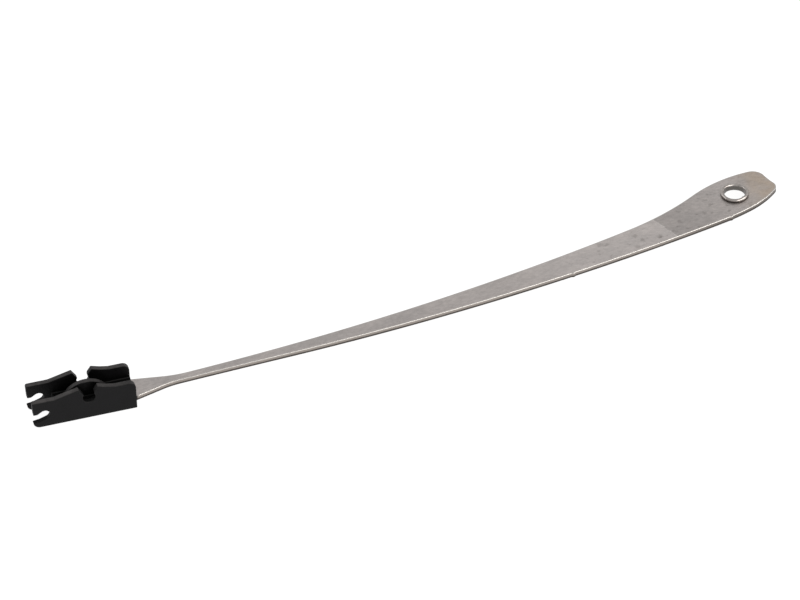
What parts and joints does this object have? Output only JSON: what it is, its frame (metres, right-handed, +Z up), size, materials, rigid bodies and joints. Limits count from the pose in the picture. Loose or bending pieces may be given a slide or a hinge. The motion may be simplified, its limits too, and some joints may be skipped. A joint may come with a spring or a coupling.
{
  "type": "hooked spudger tool",
  "caption": "Long curved steel strip handle with a hanging eyelet and a moulded twin-cheek hook head.",
  "frame": {"origin": "middle of the bounding box, on the plane of the head's flat base", "axes": "+X along the head towards the handle end, +Y towards the side the handle sweeps to, +Z up from the head's base"},
  "size_m": [0.3002, 0.0566, 0.0139],
  "materials": {
    "black_moulding": "satin",
    "brushed_sheet": "brushed",
    "polished_eyelet": "satin"
  },
  "bodies": {
    "root": {"hook_head": "black_moulding", "handle_blade": "brushed_sheet", "hanging_eyelet": "polished_eyelet"}
  },
  "joints": []
}
